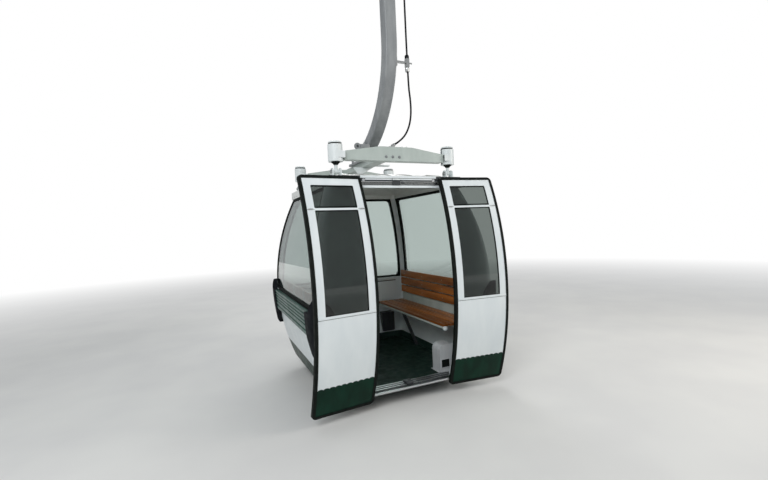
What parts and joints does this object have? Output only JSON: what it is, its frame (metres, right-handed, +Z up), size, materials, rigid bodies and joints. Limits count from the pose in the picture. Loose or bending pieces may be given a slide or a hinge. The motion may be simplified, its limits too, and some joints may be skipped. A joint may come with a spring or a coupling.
{
  "type": "cable car cabin",
  "caption": "Enclosed detachable cable car cabin with open sliding door leaves, slatted benches, sprung roof beams, a curved hanger arm and a rope grip.",
  "frame": {"origin": "rope centre in the grip, midway along the grip", "axes": "+X along the rope, -Y towards the doorway side and the hanger arm, +Z up"},
  "size_m": [2.0016, 2.1602, 4.876],
  "materials": {
    "white_paint": "semi-gloss",
    "bottle_green_paint": "gloss",
    "grey_green_paint": "semi-gloss",
    "grey_paint": "semi-gloss",
    "dark_paint": "satin",
    "black_rubber": "matt",
    "floor_rubber": "matt",
    "tinted_glass": "polished",
    "varnished_wood": "varnished",
    "bare_aluminium": "satin",
    "forged_steel": "blasted",
    "plated_steel": "satin",
    "roller_polymer": "satin",
    "cable_jacket": "matt"
  },
  "bodies": {
    "grip": {"grip_body": "forged_steel", "grip_pins": "plated_steel", "spring_housing": "forged_steel", "roller_carriage": "forged_steel", "friction_plate": "bare_aluminium"},
    "jaw": {"moving_jaw": "forged_steel"},
    "plunger": {"spring_plunger": "plated_steel"},
    "lever_wheel": {"lever_roller": "roller_polymer"},
    "front_wheel": {"running_roller_front": "roller_polymer"},
    "rear_wheel": {"running_roller_rear": "roller_polymer"},
    "guide_wheel": {"guide_roller": "roller_polymer"},
    "cabin": {"skirt": "bottle_green_paint", "floor_mat": "floor_rubber", "corner_posts": "white_paint", "end_panel_front": "white_paint", "end_panel_rear": "white_paint", "back_panel": "white_paint", "door_jambs": "white_paint", "window_seals": "black_rubber", "window_pane_front": "tinted_glass", "window_pane_rear": "tinted_glass", "window_pane_back": "tinted_glass", "roof": "white_paint", "leaf_panel_left": "white_paint", "leaf_panel_right": "white_paint", "leaf_kick_left": "bottle_green_paint", "leaf_kick_right": "bottle_green_paint", "leaf_rubber_left": "black_rubber", "leaf_rubber_right": "black_rubber", "leaf_glass_left": "tinted_glass", "leaf_glass_right": "tinted_glass", "leaf_arms": "grey_paint", "door_header": "white_paint", "door_sill": "bare_aluminium", "door_guides": "grey_paint", "bench_slats_front": "varnished_wood", "bench_slats_rear": "varnished_wood", "bench_panels": "grey_paint", "bench_frame_front": "grey_paint", "bench_frame_rear": "grey_paint", "mechanism_hood": "grey_paint", "back_locker": "dark_paint", "bumper_front": "bottle_green_paint", "bumper_rear": "bottle_green_paint", "bumper_caps": "black_rubber", "crossbeams": "grey_green_paint", "carrier": "grey_green_paint", "damper_cylinders": "grey_green_paint", "roof_brackets": "white_paint", "hanger_arm": "grey_green_paint", "hanger_foot": "grey_green_paint", "hanger_hub": "grey_green_paint", "control_cable": "cable_jacket", "cable_clamps": "bare_aluminium"}
  },
  "joints": [
    {"name": "hanger_swing", "type": "hinge", "parent": "grip", "child": "cabin", "pos_m": [0, -0.25, -0.045], "axis": [0, 1, 0], "range_deg": [-30, 30]},
    {"name": "running_roller_front", "type": "hinge", "parent": "grip", "child": "front_wheel", "pos_m": [0.215, 0.148, 0.095], "axis": [0, 1, 0], "continuous": true},
    {"name": "running_roller_rear", "type": "hinge", "parent": "grip", "child": "rear_wheel", "pos_m": [-0.215, 0.148, 0.095], "axis": [0, 1, 0], "continuous": true},
    {"name": "guide_roller", "type": "hinge", "parent": "grip", "child": "guide_wheel", "pos_m": [0, -0.21, 0.112], "axis": [0, 1, 0], "continuous": true},
    {"name": "grip_jaw", "type": "hinge", "parent": "grip", "child": "jaw", "pos_m": [0, -0.075, 0.07], "axis": [-1, 0, 0], "range_deg": [0, 10], "stiffness_Nm_per_rad": 300, "springref_deg": -11.46},
    {"name": "lever_roller", "type": "hinge", "parent": "jaw", "child": "lever_wheel", "pos_m": [0, -0.075, 0.36], "axis": [0, 0, 1], "continuous": true},
    {"name": "spring_plunger", "type": "slide", "parent": "grip", "child": "plunger", "axis": [0, 1, 0], "range_m": [0, 0.0352]}
  ],
  "couplings": [
    {"joint": "spring_plunger", "follows": "grip_jaw", "m_per_rad": 0.2008}
  ]
}
